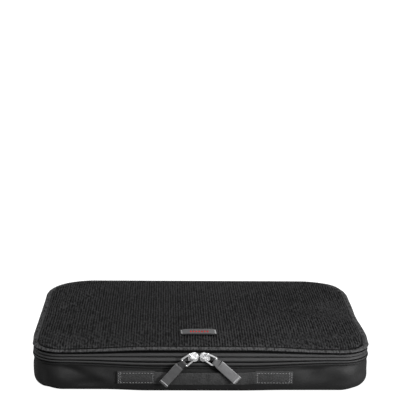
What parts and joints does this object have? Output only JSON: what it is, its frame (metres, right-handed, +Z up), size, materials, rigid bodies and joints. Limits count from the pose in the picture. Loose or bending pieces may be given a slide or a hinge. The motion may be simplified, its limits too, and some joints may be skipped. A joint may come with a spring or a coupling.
{
  "type": "packing cube",
  "caption": "Zipped fabric packing cube with a crowned mesh lid, piped rims, a webbing handle on the front wall and a two-way zip with ring and tab pulls.",
  "frame": {"origin": "middle of the flat underside, on the surface the cube lies on", "axes": "+X along the width, -Y towards the zip pulls and the handle, +Z up"},
  "size_m": [0.4496, 0.327, 0.0688],
  "materials": {
    "nylon": "plain woven nylon",
    "base_nylon": "plain woven nylon",
    "mesh_net": "fine knitted mesh",
    "welt_cord": "woven piping",
    "binding": "folded woven tape",
    "zip_tape": "twill zip tape",
    "zip_coil": "nylon coil",
    "webbing": "woven strap",
    "thread": "sewing thread",
    "chrome": "bright plated",
    "leather": "satin grained",
    "label_cloth": "satin woven label"
  },
  "bodies": {
    "tray": {"base_panel": "base_nylon", "side_wall": "nylon", "base_seam_binding": "binding", "tray_welt": "welt_cord", "tray_seam_binding": "binding", "lower_zip_tape": "zip_tape", "lower_zip_coil": "zip_coil", "hinge_strip_lower": "nylon", "handle_web": "webbing", "handle_stitching_left": "thread", "handle_stitching_right": "thread"},
    "lid": {"mesh_panel": "mesh_net", "lid_welt": "welt_cord", "lid_seam_binding": "binding", "upper_zip_tape": "zip_tape", "upper_zip_coil": "zip_coil", "hinge_strip_upper": "nylon", "label_patch": "label_cloth", "label_stitching_left": "thread", "label_stitching_right": "thread"},
    "slider_left": {"slider_body_left": "chrome", "slider_crown_left": "chrome"},
    "ring_left": {"pull_ring_left": "chrome"},
    "tab_left": {"pull_loop_left": "leather", "pull_tab_left": "leather"},
    "slider_right": {"slider_body_right": "chrome", "slider_crown_right": "chrome"},
    "ring_right": {"pull_ring_right": "chrome"},
    "tab_right": {"pull_loop_right": "leather", "pull_tab_right": "leather"}
  },
  "joints": [
    {"name": "lid_hinge", "type": "hinge", "parent": "tray", "child": "lid", "pos_m": [0, 0.1603, 0.0496], "axis": [-1, 0, 0], "range_deg": [0, 180]},
    {"name": "slider_left_slide", "type": "slide", "parent": "tray", "child": "slider_left", "axis": [-1, 0, 0], "range_m": [0, 0.13]},
    {"name": "slider_right_slide", "type": "slide", "parent": "tray", "child": "slider_right", "axis": [1, 0, 0], "range_m": [0, 0.14]},
    {"name": "ring_left_swing", "type": "hinge", "parent": "slider_left", "child": "ring_left", "pos_m": [-0.0117, -0.1626, 0.0496], "axis": [0, 1, 0], "range_deg": [0, 45]},
    {"name": "ring_right_swing", "type": "hinge", "parent": "slider_right", "child": "ring_right", "pos_m": [0.0035, -0.1626, 0.0496], "axis": [0, -1, 0], "range_deg": [0, 38]},
    {"name": "tab_left_lift", "type": "hinge", "parent": "ring_left", "child": "tab_left", "pos_m": [-0.02357, -0.1626, 0.04286], "axis": [-0.6157, 0, 0.788], "range_deg": [0, 100]},
    {"name": "tab_right_lift", "type": "hinge", "parent": "ring_right", "child": "tab_right", "pos_m": [0.0161, -0.1626, 0.04436], "axis": [-0.515, 0, -0.8572], "range_deg": [0, 100]}
  ]
}
